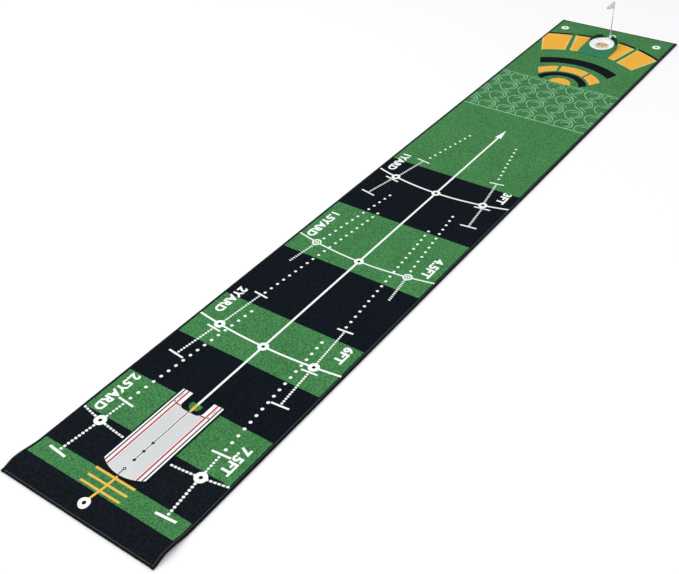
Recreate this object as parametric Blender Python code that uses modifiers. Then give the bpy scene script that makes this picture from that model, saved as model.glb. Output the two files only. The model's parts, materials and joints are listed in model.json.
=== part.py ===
"""Practice putting mat with alignment mirror, ramp cup and flag.

Metres, +Z up.  The origin is on the floor under the middle of the mat, +Y runs
along the mat to the end where the cup stands, +X is across it.  The mat lies
flat on z = 0.
The mirror and the cup are loose pieces that stand on the pile.
"""
import bpy
import bmesh
from math import sin, cos, pi, tan, radians, sqrt
from mathutils import Vector

# ---------------------------------------------------------------- dimensions
MAT_W = 0.500            # across
MAT_L = 3.030            # along, as it lies
BACKING_T = 0.0022       # rubber
PILE_T = 0.0025          # base cloth and velvet pile
GAP = 0.0003
MAT_TOP = BACKING_T + GAP + PILE_T      # 5.0 mm
EDGE_W = 0.0085          # overlocked edge, long sides
EDGE_END_W = 0.0070      # overlocked edge, both ends
EDGE_T = 0.0054

MIRROR_W = 0.1360
MIRROR_FAR = -1.0755
MIRROR_NEAR = -1.3725    # middle of the bowed end
MIRROR_CORNER = -1.3520  # its two corners
NOTCH_W = 0.0710
NOTCH_END = -1.1310
NOTCH_R = 0.0170
MIRROR_PAD_T = 0.0010
MIRROR_T = 0.0026
PEG_HOLES = [(0.0553, -1.1210), (0.0618, -1.1290)]
PEG_R = 0.0018

CUP_Y = 1.3415           # centre of the hole
CUP_R = 0.0615           # radius of the rounded rear
CUP_FRONT_HALF = 0.0645  # half width of the front edge
CUP_FRONT = -0.0975      # front edge, from the hole's centre
RAMP_Z0 = 0.0012         # height of the front edge
RAMP_Y1 = -0.0520        # end of the front ramp
RAMP_Z1 = 0.0068
DECK_SLOPE = 0.096       # the deck still rises to the rear
CUP_WALL = 0.0023
HOLE_R = 0.0467
EAR_IN = 0.0525          # raised guard walls at the rear
EAR_H = 0.0115
SLOT_HALF = 0.0170       # rear opening between the two guard walls
SLOT_Y = 0.0505

LINER_OUT = 0.0490
LINER_T = 0.0016
LIP_H = 0.0014
DISH_DEPTH = 0.0082
DISC_R = 0.0285
DISC_T = 0.0006

POLE_X = 0.0045
POLE_Y = 0.0710          # pole axis, from the hole's centre
POLE_R = 0.0021
POLE_Z0 = 0.0055         # above the mat
POLE_JOIN = 0.1075       # above the floor
POLE_TOP = 0.1720
RING_C = (0.0145, 0.0740)
RING_Z = 0.0172
RING_OUT = 0.0130
RING_IN = 0.0085


# ------------------------------------------------------------------- helpers
for ob in list(bpy.data.objects):
    bpy.data.objects.remove(ob, do_unlink=True)

PARTS = bpy.data.collections.new("putting_mat")
CUTTERS = bpy.data.collections.new("cutters")
bpy.context.scene.collection.children.link(PARTS)
bpy.context.scene.collection.children.link(CUTTERS)


def material(name, colour, rough, metal=0.0):
    mat = bpy.data.materials.new(name)
    mat.use_nodes = True
    bsdf = mat.node_tree.nodes["Principled BSDF"]
    bsdf.inputs["Base Color"].default_value = (*colour, 1.0)
    bsdf.inputs["Roughness"].default_value = rough
    bsdf.inputs["Metallic"].default_value = metal
    mat.diffuse_color = (*colour, 1.0)
    return mat


M_RUBBER = material("black_rubber", (0.02, 0.02, 0.022), 0.85)
M_PILE = material("green_pile", (0.055, 0.22, 0.085), 0.95)
M_THREAD = material("black_thread", (0.012, 0.012, 0.014), 0.8)
M_MIRROR = material("acrylic_mirror", (0.72, 0.76, 0.76), 0.08, 0.6)
M_PAD = material("foam_pad", (0.03, 0.03, 0.03), 0.9)
M_CUP = material("green_plastic", (0.03, 0.18, 0.10), 0.4)
M_WHITE = material("white_plastic", (0.85, 0.88, 0.86), 0.35)
M_DISC = material("cream_disc", (0.75, 0.6, 0.42), 0.5)
M_FLAG = material("white_cloth", (0.8, 0.8, 0.8), 0.9)


def place(ob, mat, cutter=False):
    for c in list(ob.users_collection):
        c.objects.unlink(ob)
    (CUTTERS if cutter else PARTS).objects.link(ob)
    if cutter:
        ob.hide_render = True
        ob.display_type = 'WIRE'
    else:
        ob.data.materials.clear()
        ob.data.materials.append(mat)
    return ob


def new_mesh_object(name, bm, mat, cutter=False, smooth=None):
    me = bpy.data.meshes.new(name)
    bm.normal_update()
    bm.to_mesh(me)
    bm.free()
    if smooth is not None:
        me.shade_smooth()
        me.set_sharp_from_angle(angle=radians(smooth))
    ob = bpy.data.objects.new(name, me)
    bpy.context.scene.collection.objects.link(ob)
    return place(ob, mat, cutter)


def empty(name, loc, parent=None, parent_at=(0.0, 0.0, 0.0)):
    """An axis marker at loc, whose parent, if any, stands at parent_at."""
    e = bpy.data.objects.new(name, None)
    e.empty_display_size = 0.02
    PARTS.objects.link(e)
    e.parent = parent
    e.location = Vector(loc) - Vector(parent_at)
    return e


def attach(ob, parent, origin):
    """Parent ob to an empty that stands at origin, keeping it where it is."""
    ob.parent = parent
    ob.location = Vector(ob.location) - Vector(origin)
    return ob


def outline_solid(name, loops, z0, z1, mat, cutter=False):
    """A flat outline, with holes, as a filled 2D curve made thick, as a mesh."""
    cu = bpy.data.curves.new(name + "_outline", 'CURVE')
    cu.dimensions = '2D'
    cu.fill_mode = 'BOTH'
    cu.extrude = (z1 - z0) / 2
    for pts in loops:
        sp = cu.splines.new('POLY')
        sp.points.add(len(pts) - 1)
        for p, (x, y) in zip(sp.points, pts):
            p.co = (x, y, 0.0, 1.0)
        sp.use_cyclic_u = True
    tmp = bpy.data.objects.new(name + "_curve", cu)
    bpy.context.scene.collection.objects.link(tmp)
    dg = bpy.context.evaluated_depsgraph_get()
    me = bpy.data.meshes.new_from_object(tmp.evaluated_get(dg))
    bm = bmesh.new()
    bm.from_mesh(me)
    bmesh.ops.remove_doubles(bm, verts=bm.verts[:], dist=1e-6)
    bmesh.ops.translate(bm, verts=bm.verts[:], vec=(0, 0, (z0 + z1) / 2))
    bmesh.ops.recalc_face_normals(bm, faces=bm.faces[:])
    bpy.data.objects.remove(tmp, do_unlink=True)
    bpy.data.meshes.remove(me)
    return new_mesh_object(name, bm, mat, cutter)


def side_prism(name, profile, half, mat=None):
    """A closed side profile, (y, z) points, run across from -half to +half."""
    ob = outline_solid(name, [profile], -half, half, mat, cutter=True)
    for v in ob.data.vertices:
        x, y, z = v.co
        v.co = (z, x, y)          # the outline's plane becomes the YZ plane
    return ob


def boolean(ob, cutter, op):
    m = ob.modifiers.new(op.lower() + "_" + cutter.name, 'BOOLEAN')
    m.operation = op
    m.object = cutter
    m.solver = 'EXACT'
    return m


def arc(cx, cy, r, a0, a1, n):
    return [(cx + r * cos(radians(a0 + (a1 - a0) * i / n)),
             cy + r * sin(radians(a0 + (a1 - a0) * i / n))) for i in range(n + 1)]


def cylinder(name, x, y, r, z0, z1, n, mat=None, cutter=True):
    bm = bmesh.new()
    bmesh.ops.create_cone(bm, cap_ends=True, segments=n, radius1=r, radius2=r,
                          depth=z1 - z0)
    bmesh.ops.translate(bm, verts=bm.verts[:], vec=(x, y, (z0 + z1) / 2))
    return new_mesh_object(name, bm, mat, cutter)


def box(name, lo, hi, mat=None, cutter=True):
    bm = bmesh.new()
    bmesh.ops.create_cube(bm, size=1.0)
    size = [h - l for l, h in zip(lo, hi)]
    mid = [(h + l) / 2 for l, h in zip(lo, hi)]
    bmesh.ops.scale(bm, verts=bm.verts[:], vec=size)
    bmesh.ops.translate(bm, verts=bm.verts[:], vec=mid)
    return new_mesh_object(name, bm, mat, cutter)


# ------------------------------------------------------------------- the mat
def laid_strip(name, x0, x1, y0, y1, z0, thick, mat, edge=0.0):
    """A strip of the mat: a one-face grid made thick upward."""
    bm = bmesh.new()
    bmesh.ops.create_grid(bm, x_segments=1, y_segments=1, size=0.5)
    bmesh.ops.scale(bm, verts=bm.verts[:], vec=(x1 - x0, y1 - y0, 1.0))
    bmesh.ops.translate(bm, verts=bm.verts[:], vec=((x0 + x1) / 2, (y0 + y1) / 2, z0))
    ob = new_mesh_object(name, bm, mat)
    s = ob.modifiers.new("thickness", 'SOLIDIFY')
    s.thickness = thick
    s.offset = 1.0
    if edge:
        b = ob.modifiers.new("rounded", 'BEVEL')
        b.width = edge
        b.segments = 3
        b.limit_method = 'ANGLE'
        b.angle_limit = radians(50)
        ob.data.shade_smooth()
    return ob


IN_X = MAT_W / 2 - EDGE_W
IN_Y = MAT_L / 2 - EDGE_END_W
laid_strip("rubber_backing", -IN_X, IN_X, -IN_Y, IN_Y, 0.0, BACKING_T, M_RUBBER)
laid_strip("turf_pile", -IN_X, IN_X, -IN_Y, IN_Y, BACKING_T + GAP, PILE_T, M_PILE)
for name, s in (("edge_binding_left", -1), ("edge_binding_right", 1)):
    a, b = sorted((s * (IN_X + GAP), s * MAT_W / 2))
    laid_strip(name, a, b, -MAT_L / 2, MAT_L / 2, 0.0, EDGE_T, M_THREAD, 0.0014)
for name, s in (("edge_binding_near", -1), ("edge_binding_far", 1)):
    a, b = sorted((s * (IN_Y + GAP), s * MAT_L / 2))
    laid_strip(name, -IN_X, IN_X, a, b, 0.0, EDGE_T, M_THREAD, 0.0014)


# ---------------------------------------------------------------- the mirror
def mirror_outline(inset, holes, hole_r):
    w = MIRROR_W / 2 - inset
    far = MIRROR_FAR - inset
    nw = NOTCH_W / 2 + inset
    end = NOTCH_END - inset
    # the bowed near end is an arc through both corners and the middle
    sag = MIRROR_CORNER - MIRROR_NEAR
    half = MIRROR_W / 2
    rad = (half * half + sag * sag) / (2 * sag)
    cy = MIRROR_NEAR + rad
    rad -= inset
    r = 0.0025
    pts = []
    pts += arc(-w + r, far - r, r, 90, 180, 4)          # far left corner
    pts.append((-w, cy - sqrt(rad * rad - w * w) + 0.0012))
    a = 13
    for i in range(a + 1):                              # bowed near end
        x = -w + 0.0008 + (2 * w - 0.0016) * i / a
        pts.append((x, cy - sqrt(rad * rad - x * x)))
    pts.append((w, cy - sqrt(rad * rad - w * w) + 0.0012))
    pts += arc(w - r, far - r, r, 0, 90, 4)             # far right corner
    pts += arc(nw + r * 0.6, far - r * 0.6, r * 0.6, 90, 180, 3)
    pts += arc(nw - NOTCH_R, end + NOTCH_R, NOTCH_R, 0, -90, 8)
    pts += arc(-nw + NOTCH_R, end + NOTCH_R, NOTCH_R, -90, -180, 8)
    pts += arc(-nw - r * 0.6, far - r * 0.6, r * 0.6, 0, 90, 3)
    loops = [pts]
    for x, y in holes:
        for s in (-1, 1):
            loops.append(arc(s * x, y, hole_r, 0, 330, 11))
    return loops


MIRROR_AT = (0.0, (MIRROR_FAR + MIRROR_NEAR) / 2, MAT_TOP)
mirror_axis = empty("mirror_lift", MIRROR_AT)
z = MAT_TOP + GAP
pad = outline_solid("mirror_backing", mirror_outline(0.0012, PEG_HOLES, PEG_R + 0.0003),
                    z, z + MIRROR_PAD_T, M_PAD)
z += MIRROR_PAD_T + GAP
plate = outline_solid("mirror_plate", mirror_outline(0.0, PEG_HOLES, PEG_R),
                      z, z + MIRROR_T, M_MIRROR)
attach(pad, mirror_axis, MIRROR_AT)
attach(plate, mirror_axis, MIRROR_AT)

# ------------------------------------------------------------------- the cup
# Heights below are above the pile; FLOOR lifts them to the part's frame.
FLOOR = MAT_TOP + GAP
CUP_AT = (0.0, CUP_Y, MAT_TOP)


def deck(y):
    """Height of the cup's top surface at y from the hole's centre."""
    if y < RAMP_Y1:
        t = (y - CUP_FRONT) / (RAMP_Y1 - CUP_FRONT)
        return RAMP_Z0 + (RAMP_Z1 - RAMP_Z0) * t
    return RAMP_Z1 + (y - RAMP_Y1) * DECK_SLOPE


def plan(inset):
    """Straight front and sides with a half-round rear."""
    r = CUP_R - inset
    w = CUP_FRONT_HALF - inset
    c = 0.004 if inset == 0 else 0.002
    f = CUP_FRONT + inset
    pts = arc(0, 0, r, 0, 180, 36)
    pts += arc(-w + c, f + c, c, 180, 270, 4)
    pts += arc(w - c, f + c, c, 270, 360, 4)
    return pts


def profile(drop, below):
    """Side view of the material under the deck."""
    ys = [CUP_FRONT - 0.01, CUP_FRONT, RAMP_Y1 - 0.006, RAMP_Y1 + 0.006, CUP_R + 0.02]
    top = [(y, FLOOR + deck(y) - drop) for y in ys]
    return [(ys[-1], FLOOR + below), (ys[0], FLOOR + below)][::-1] + top[::-1]


def moved(pts):
    return [(x, y + CUP_Y) for x, y in pts]


cup_axis = empty("cup_lift", CUP_AT)
body = outline_solid("cup_body", [moved(plan(0))], FLOOR, FLOOR + 0.045, M_CUP)
top_prism = side_prism("cut_deck", [(y + CUP_Y, z) for y, z in profile(0.0, -0.01)], 0.09)
boolean(body, top_prism, 'INTERSECT')

# Two raised guard walls on the rear of the deck, highest at their middles.
for tag, a0, a1 in (("right", 2.0, 80.0), ("left", 178.0, 100.0)):
    n = 22
    bm = bmesh.new()
    rings = []
    for i in range(n + 1):
        t = i / n
        a = radians(a0 + (a1 - a0) * t)
        crest = EAR_H * sin(pi * t ** 1.6) ** 0.7 if 0 < t < 1 else 0.0
        sec = []
        for r, up in ((EAR_IN, 0), (CUP_R - 0.00005, 0), (CUP_R - 0.00005, 1),
                      (CUP_R - 0.0016, 2), (EAR_IN + 0.0016, 2), (EAR_IN, 1)):
            y = r * sin(a)
            zz = deck(y)
            h = -0.0012 if up == 0 else (crest * 0.8 if up == 1 else crest) - 0.0004
            sec.append(bm.verts.new((r * cos(a), y + CUP_Y, FLOOR + zz + h)))
        rings.append(sec)
    for p, q in zip(rings, rings[1:]):
        for k in range(6):
            bm.faces.new((p[k], p[(k + 1) % 6], q[(k + 1) % 6], q[k]))
    bm.faces.new(rings[0][::-1])
    bm.faces.new(rings[-1])
    bmesh.ops.recalc_face_normals(bm, faces=bm.faces[:])
    ear = new_mesh_object("join_guard_" + tag, bm, None, cutter=True)
    boolean(body, ear, 'UNION')

# Rear opening, hollow underside, and the hole in the deck.
slot = box("cut_rear_opening", (-SLOT_HALF, CUP_Y + SLOT_Y, -0.01),
           (SLOT_HALF, CUP_Y + 0.09, 0.09))
boolean(body, slot, 'DIFFERENCE')

cavity = outline_solid("cut_cavity", [moved([(x, max(y, CUP_FRONT + 0.0220)) for x, y in
                                             plan(CUP_WALL)])],
                       -0.005, FLOOR + 0.045, None, cutter=True)
under = side_prism("cut_under_deck", [(y + CUP_Y, z) for y, z in profile(CUP_WALL, -0.02)], 0.09)
keep = box("cut_keep_rear_wall", (-SLOT_HALF - CUP_WALL, CUP_Y + SLOT_Y - CUP_WALL, -0.03),
           (SLOT_HALF + CUP_WALL, CUP_Y + 0.095, 0.095))
boolean(cavity, under, 'INTERSECT')
boolean(cavity, keep, 'DIFFERENCE')
boolean(body, cavity, 'DIFFERENCE')
hole = cylinder("cut_hole", 0, CUP_Y, HOLE_R, -0.005, 0.09, 56)
boolean(body, hole, 'DIFFERENCE')
attach(body, cup_axis, CUP_AT)


# White dish: a turned profile, then sheared so that its rim follows the deck.
def turned(name, prof, steps, mat):
    bm = bmesh.new()
    vs = [bm.verts.new((r, 0, z)) for r, z in prof]
    for a, b in zip(vs, vs[1:]):
        bm.edges.new((a, b))
    ob = new_mesh_object(name, bm, mat)
    s = ob.modifiers.new("turned", 'SCREW')
    s.steps = steps
    s.render_steps = steps
    s.use_merge_vertices = True
    s.merge_threshold = 0.00001
    s.use_smooth_shade = True
    dg = bpy.context.evaluated_depsgraph_get()
    me = bpy.data.meshes.new_from_object(ob.evaluated_get(dg))
    old = ob.data
    ob.modifiers.clear()
    ob.data = me
    bpy.data.meshes.remove(old)
    bm = bmesh.new()
    bm.from_mesh(me)
    bmesh.ops.remove_doubles(bm, verts=bm.verts[:], dist=1e-6)
    bmesh.ops.recalc_face_normals(bm, faces=bm.faces[:])
    bm.to_mesh(me)
    bm.free()
    return ob


RIM = deck(0) + LIP_H                    # height of the rim above the pile
FLOOR_IN = RIM - DISH_DEPTH              # dish floor
DISH = [(0.0445, RIM), (0.0437, RIM - 0.0026), (0.0415, RIM - 0.0048),
        (0.0372, RIM - 0.0066), (0.0325, RIM - 0.0078), (0.0292, FLOOR_IN)]
LIP_U = deck(0) + GAP                    # underside of the lip
prof = [(0.0, FLOOR_IN)] + DISH[::-1]
prof += [(0.0450, RIM + 0.0003), (0.0484, RIM + 0.0001), (LINER_OUT, RIM - 0.0006),
         (LINER_OUT, LIP_U), (0.0458, LIP_U)]
prof += [(0.0452, RIM - 0.0034), (0.0428, RIM - 0.0060), (0.0383, RIM - 0.0081),
         (0.0332, RIM - 0.0094), (0.0298, FLOOR_IN - LINER_T), (0.0, FLOOR_IN - LINER_T)]
liner = turned("cup_liner", prof, 64, M_WHITE)
for v in liner.data.vertices:
    r = sqrt(v.co.x ** 2 + v.co.y ** 2)
    w = max(0.0, min(1.0, (v.co.z - FLOOR_IN) / (RIM - 0.0026 - FLOOR_IN)))
    v.co = (v.co.x, v.co.y + CUP_Y, v.co.z + FLOOR + w * DECK_SLOPE * v.co.y)
liner.data.shade_smooth()
liner.data.set_sharp_from_angle(angle=radians(40))
attach(liner, cup_axis, CUP_AT)

# Printed disc that lies on the dish's floor.
disc = cylinder("cup_disc", 0, CUP_Y, DISC_R, FLOOR + FLOOR_IN + GAP,
                FLOOR + FLOOR_IN + GAP + DISC_T, 56, M_DISC, cutter=False)
attach(disc, cup_axis, CUP_AT)

# ------------------------------------------------------------- the flag clip
# A white clip that hooks over the rim at the rear opening.  It carries the
# pole's socket and a finger ring.
CLIP_AT = (POLE_X, CUP_Y + POLE_Y, FLOOR + POLE_Z0)
clip_axis = empty("clip_lift", CLIP_AT, cup_axis, CUP_AT)
rim_rear = FLOOR + RIM + 0.0003 + DECK_SLOPE * LINER_OUT
hook = [(0.0400, rim_rear - 0.0040), (0.0418, rim_rear - 0.0040), (0.0418, rim_rear + 0.0003),
        (0.0509, rim_rear + 0.0003), (0.0509, FLOOR + 0.0065),
        (0.0690, FLOOR + 0.0065), (0.0690, FLOOR + 0.0105),
        (0.0530, FLOOR + 0.0105), (0.0530, rim_rear + 0.0010), (0.0520, rim_rear + 0.0020),
        (0.0410, rim_rear + 0.0020), (0.0400, rim_rear + 0.0010)]
clip = side_prism("flag_clip", [(y + CUP_Y, z) for y, z in hook], 0.0040)
for v in clip.data.vertices:
    v.co.x += POLE_X
clip.hide_render = False
clip.display_type = 'TEXTURED'
place(clip, M_WHITE)
sock = cylinder("join_socket", POLE_X, CUP_Y + POLE_Y, 0.0043, FLOOR + POLE_Z0 - 0.0020,
                FLOOR + 0.0200, 28)
boolean(clip, sock, 'UNION')
bm = bmesh.new()
n_r, n_s = 40, 8
tw = (RING_OUT - RING_IN) / 2
tc = (RING_OUT + RING_IN) / 2
ringv = []
for i in range(n_r):
    a = 2 * pi * (i + 0.37) / n_r
    sec = []
    for k in range(n_s):
        b = 2 * pi * (k + 0.5) / n_s
        rr = tc + tw * cos(b) / cos(pi / n_s)
        sec.append(bm.verts.new((RING_C[0] + rr * cos(a), CUP_Y + RING_C[1] + rr * sin(a),
                                 FLOOR + RING_Z + 0.0019 * sin(b) / cos(pi / n_s))))
    ringv.append(sec)
for i in range(n_r):
    p, q = ringv[i], ringv[(i + 1) % n_r]
    for k in range(n_s):
        bm.faces.new((p[k], q[k], q[(k + 1) % n_s], p[(k + 1) % n_s]))
bmesh.ops.recalc_face_normals(bm, faces=bm.faces[:])
ring = new_mesh_object("join_ring", bm, None, cutter=True)
boolean(clip, ring, 'UNION')
bore = cylinder("cut_socket_bore", POLE_X, CUP_Y + POLE_Y, POLE_R + 0.0003, FLOOR + POLE_Z0,
                0.09, 24)
boolean(clip, bore, 'DIFFERENCE')
attach(clip, clip_axis, CLIP_AT)

# ------------------------------------------------------------------ the flag
PX, PY = POLE_X, CUP_Y + POLE_Y
POLE_AT = (PX, PY, FLOOR + POLE_Z0)
pole_axis = empty("pole_slide", POLE_AT, clip_axis, CLIP_AT)
z0 = FLOOR + POLE_Z0 + GAP
prof = [(0.0, POLE_JOIN + 0.0100), (0.0008, POLE_JOIN + 0.0100), (0.0012, POLE_JOIN + 0.0094),
        (0.0012, POLE_JOIN), (0.0019, POLE_JOIN), (POLE_R, POLE_JOIN - 0.0004),
        (POLE_R, z0 + 0.0006), (0.0015, z0), (0.0, z0)]
lower = turned("flagpole_lower", prof, 20, M_WHITE)
for v in lower.data.vertices:
    v.co += Vector((PX, PY, 0.0))
attach(lower, pole_axis, POLE_AT)

FLAG_AT = (PX, PY, POLE_JOIN)
flag_axis = empty("flag_turn", FLAG_AT, pole_axis, POLE_AT)
zb = POLE_JOIN + GAP
prof = [(0.0, POLE_TOP), (0.0013, POLE_TOP), (0.0021, POLE_TOP - 0.0005),
        (0.0023, POLE_TOP - 0.0012), (0.0023, zb + 0.0005), (0.0020, zb), (0.0015, zb),
        (0.0015, zb + 0.0110), (0.0, zb + 0.0110)]
upper = turned("flagpole_upper", prof, 20, M_WHITE)
for v in upper.data.vertices:
    v.co += Vector((PX, PY, 0.0))
attach(upper, flag_axis, FLAG_AT)

# Pennant: a sleeve round the pole with a drooping triangular fly on one side.
SLEEVE_IN, SLEEVE_OUT = 0.0026, 0.0032
HOIST_TOP, HOIST_LOW = POLE_TOP - 0.0008, POLE_TOP - 0.0310
fly = [(-0.0029, HOIST_TOP - 0.0008), (-0.0029, HOIST_LOW + 0.0008),
       (-0.0275, HOIST_LOW - 0.0105), (-0.0283, HOIST_LOW - 0.0050),
       (-0.0265, HOIST_LOW + 0.0030)]
pennant = outline_solid("flag_pennant", [fly], -0.0004, 0.0004, M_FLAG)
for v in pennant.data.vertices:
    x, y, z = v.co
    v.co = (PX + x, PY - z, y)
sleeve = cylinder("join_sleeve", PX, PY, SLEEVE_OUT, HOIST_LOW, HOIST_TOP, 24)
boolean(pennant, sleeve, 'UNION')
core = cylinder("cut_sleeve_core", PX, PY, SLEEVE_IN, HOIST_LOW - 0.01, HOIST_TOP + 0.01, 24)
boolean(pennant, core, 'DIFFERENCE')
attach(pennant, flag_axis, FLAG_AT)
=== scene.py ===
"""Looks of the practice putting mat: printed pile, overlocked edges, acrylic
mirror with its printed guides, ramp cup, clip, pole and pennant.

Metres, +Z up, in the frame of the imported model: the origin is on the floor
under the middle of the mat, +Y runs to the end where the cup stands.
"""
import json
from math import sin, cos, pi, sqrt, radians, hypot, atan2

import bpy
import numpy as np
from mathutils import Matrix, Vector, noise
from mathutils.geometry import delaunay_2d_cdt

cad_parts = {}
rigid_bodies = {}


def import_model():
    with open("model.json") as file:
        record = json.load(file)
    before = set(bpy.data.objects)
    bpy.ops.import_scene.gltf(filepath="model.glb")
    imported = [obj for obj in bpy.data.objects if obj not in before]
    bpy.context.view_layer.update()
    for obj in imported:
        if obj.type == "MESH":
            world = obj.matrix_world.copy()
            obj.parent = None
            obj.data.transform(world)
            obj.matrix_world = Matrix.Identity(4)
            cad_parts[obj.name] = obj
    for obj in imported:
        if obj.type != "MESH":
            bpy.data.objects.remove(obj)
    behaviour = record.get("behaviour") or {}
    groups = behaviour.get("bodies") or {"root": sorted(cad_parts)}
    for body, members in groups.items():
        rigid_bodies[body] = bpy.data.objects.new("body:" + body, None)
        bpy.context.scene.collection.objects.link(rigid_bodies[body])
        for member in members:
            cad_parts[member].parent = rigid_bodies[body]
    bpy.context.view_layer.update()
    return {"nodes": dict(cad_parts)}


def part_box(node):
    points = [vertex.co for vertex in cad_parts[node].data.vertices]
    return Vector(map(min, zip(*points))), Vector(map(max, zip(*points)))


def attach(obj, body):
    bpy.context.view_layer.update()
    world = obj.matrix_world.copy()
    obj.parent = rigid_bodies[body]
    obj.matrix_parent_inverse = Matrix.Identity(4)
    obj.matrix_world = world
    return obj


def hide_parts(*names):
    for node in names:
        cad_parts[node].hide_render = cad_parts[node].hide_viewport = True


for ob in list(bpy.data.objects):
    bpy.data.objects.remove(ob, do_unlink=True)

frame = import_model()
NODES = frame["nodes"]
SCENE = bpy.context.scene

# ------------------------------------------------------------------- camera
FOCAL, PAN, TILT, ROLL = 974.34, -0.6561, 0.6630, 0.0568
POS = Vector((1.3610, -2.2591, 1.7208))
fw = Vector((sin(PAN) * cos(TILT), cos(PAN) * cos(TILT), -sin(TILT)))
rt = Vector((cos(PAN), -sin(PAN), 0.0))
dn = fw.cross(rt)
r2 = cos(ROLL) * rt + sin(ROLL) * dn
d2 = -sin(ROLL) * rt + cos(ROLL) * dn
cam_data = bpy.data.cameras.new("camera")
cam_data.sensor_width = 36.0
cam_data.sensor_fit = 'HORIZONTAL'
cam_data.lens = FOCAL * 36.0 / 679.0
cam_data.clip_end = 60.0
cam = bpy.data.objects.new("camera", cam_data)
SCENE.collection.objects.link(cam)
m = cam.matrix_world.copy()
for i in range(3):
    m[i][0], m[i][1], m[i][2], m[i][3] = r2[i], -d2[i], -fw[i], POS[i]
cam.matrix_world = m
SCENE.camera = cam

# --------------------------------------------------------------- materials


class Look:
    """A Principled material with small helpers for its procedural nodes."""

    def __init__(self, name, colour=(0.5, 0.5, 0.5), rough=0.6, metal=0.0, **sockets):
        self.mat = bpy.data.materials.new(name)
        self.mat.use_nodes = True
        self.nt = self.mat.node_tree
        self.b = self.nt.nodes["Principled BSDF"]
        self.b.inputs["Base Color"].default_value = (*colour, 1.0)
        self.b.inputs["Roughness"].default_value = rough
        self.b.inputs["Metallic"].default_value = metal
        for k, v in sockets.items():
            self.b.inputs[k.replace("_", " ")].default_value = v
        self.co = self.nt.nodes.new("ShaderNodeTexCoord").outputs["Object"]
        self.height = None

    def add(self, kind, **inputs):
        n = self.nt.nodes.new(kind)
        for k, v in inputs.items():
            s = n.inputs[k.replace("_", " ")]
            if hasattr(v, "is_output"):
                self.nt.links.new(v, s)
            else:
                s.default_value = v
        return n

    def stretched(self, scale, turn=0.0):
        n = self.add("ShaderNodeMapping", Vector=self.co)
        n.inputs["Scale"].default_value = scale
        n.inputs["Rotation"].default_value = (0, 0, turn)
        return n.outputs["Vector"]

    def noise(self, scale, detail=2.0, rough=0.5, vector=None):
        n = self.add("ShaderNodeTexNoise", Vector=vector or self.co, Scale=scale,
                     Detail=detail, Roughness=rough)
        return n.outputs["Fac"]

    def voronoi(self, scale, vector=None, out="Distance"):
        n = self.add("ShaderNodeTexVoronoi", Vector=vector or self.co, Scale=scale)
        return n.outputs[out]

    def ramp(self, fac, stops):
        n = self.nt.nodes.new("ShaderNodeValToRGB")
        self.nt.links.new(fac, n.inputs["Fac"])
        r = n.color_ramp
        while len(r.elements) < len(stops):
            r.elements.new(0.5)
        for e, (p, c) in zip(r.elements, stops):
            e.position = p
            e.color = (*c, 1.0) if len(c) == 3 else c
        return n.outputs["Color"]

    def mix(self, kind, fac, a, b):
        n = self.nt.nodes.new("ShaderNodeMix")
        n.data_type = 'RGBA'
        n.blend_type = kind
        for s, v in zip((n.inputs[0], n.inputs[6], n.inputs[7]), (fac, a, b)):
            if hasattr(v, "is_output"):
                self.nt.links.new(v, s)
            else:
                s.default_value = v if not isinstance(v, tuple) or len(v) == 4 else (*v, 1.0)
        return n.outputs[2]

    def maths(self, op, a, b):
        n = self.nt.nodes.new("ShaderNodeMath")
        n.operation = op
        for s, v in zip(n.inputs, (a, b)):
            if hasattr(v, "is_output"):
                self.nt.links.new(v, s)
            else:
                s.default_value = v
        return n.outputs[0]

    def colour(self, out):
        self.nt.links.new(out, self.b.inputs["Base Color"])
        return self

    def rough(self, out, lo, hi):
        n = self.nt.nodes.new("ShaderNodeMapRange")
        self.nt.links.new(out, n.inputs[0])
        n.inputs[3].default_value, n.inputs[4].default_value = lo, hi
        self.nt.links.new(n.outputs[0], self.b.inputs["Roughness"])
        return self

    def bump(self, height, strength, distance):
        n = self.nt.nodes.new("ShaderNodeBump")
        n.inputs["Strength"].default_value = strength
        n.inputs["Distance"].default_value = distance
        self.nt.links.new(height, n.inputs["Height"])
        self.nt.links.new(n.outputs["Normal"], self.b.inputs["Normal"])
        return self


def shade(c, k):
    return tuple(min(1.0, v * k) for v in c)


def pile(name, colour, contrast=0.22, sheen=0.0, broad=0.10):
    """Short brushed pile: mottled dye, tufts with painted shade between them, and a nap laid along
    the mat.
    """
    k = Look(name, colour, 0.96, Sheen_Weight=sheen, Sheen_Roughness=0.6,
             Specular_IOR_Level=0.03)
    tuft = k.voronoi(620.0)
    nap = k.noise(1.0, 3.0, 0.65, k.stretched((620.0, 260.0, 620.0), 0.09))
    speck = k.noise(1.0, 4.0, 0.78, k.stretched((250.0, 180.0, 250.0), 0.35))
    wide = k.noise(6.0, 4.0, 0.6)
    base = k.ramp(speck, [(0.36, shade(colour, 1 - contrast)), (0.50, colour),
                          (0.64, shade(colour, 1 + contrast))])
    fine = k.ramp(nap, [(0.30, (1 - contrast * 0.6,) * 3), (0.66, (1.0,) * 3)])
    worn = k.ramp(wide, [(0.32, (1 - broad,) * 3), (0.68, (1.0,) * 3)])
    # Darker towards the tuft cell borders: painted shade between tufts.
    tuft_gap_shade = k.ramp(tuft, [(0.0, (1.0,) * 3), (0.75, (1 - contrast * 0.5,) * 3)])
    fine = k.mix('MULTIPLY', 1.0, fine, tuft_gap_shade)
    k.colour(k.mix('MULTIPLY', 1.0, k.mix('MULTIPLY', 1.0, base, fine), worn))
    h = k.maths('ADD', k.maths('MULTIPLY', tuft, 0.7), nap)
    k.bump(h, 0.55, 0.0009)
    return k.mat


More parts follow.
